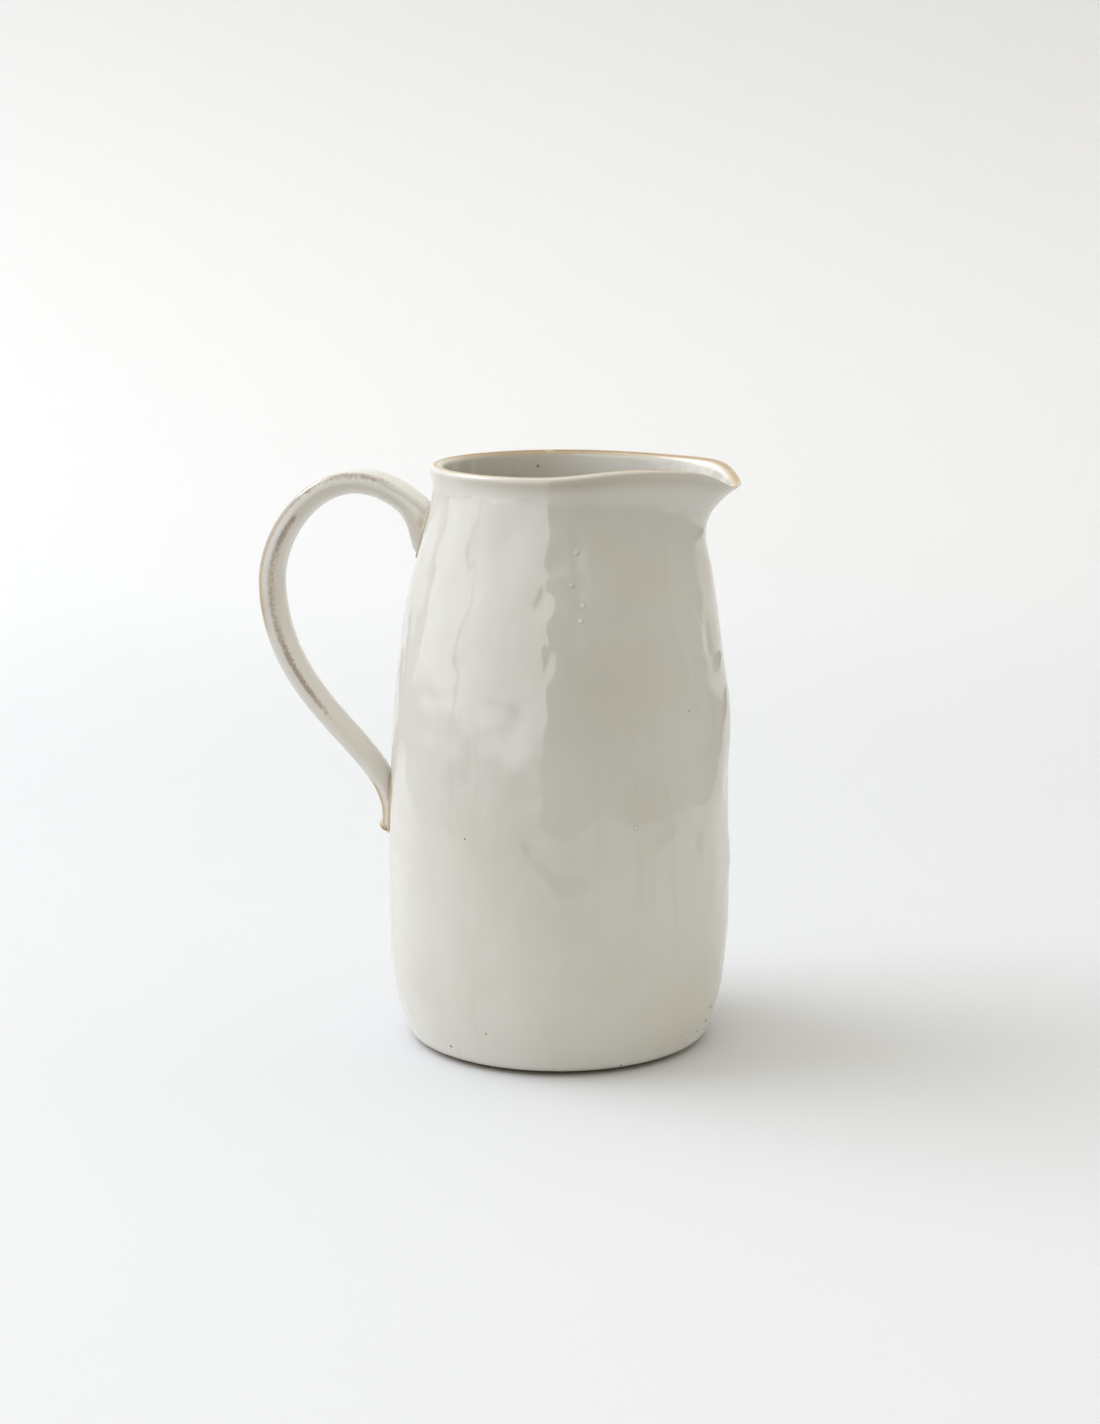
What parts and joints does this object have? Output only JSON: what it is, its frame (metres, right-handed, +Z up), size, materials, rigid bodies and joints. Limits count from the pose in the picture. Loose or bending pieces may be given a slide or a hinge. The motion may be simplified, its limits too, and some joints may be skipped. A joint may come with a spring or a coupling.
{
  "type": "ceramic pitcher",
  "caption": "Hand-built glazed ceramic pitcher with a rounded belly, a narrowing neck, a pulled pouring lip and a loop strap handle.",
  "frame": {"origin": "centre of the foot ring, on the table", "axes": "+Z up, +X towards the pouring lip, -X towards the handle, +Y to the far side as seen in the picture"},
  "size_m": [0.2051, 0.148, 0.2529],
  "materials": {
    "glazed_clay": "glossy warm white glaze over tan stoneware, breaking to tan on edges",
    "bare_clay": "matt bare tan stoneware"
  },
  "bodies": {
    "root": {"foot_ring": "bare_clay", "base_disc": "glazed_clay", "seam_coil": "glazed_clay", "body_wall": "glazed_clay", "rim_band": "glazed_clay", "handle_strap": "glazed_clay", "upper_slip": "bare_clay", "lower_slip": "bare_clay"}
  },
  "joints": []
}
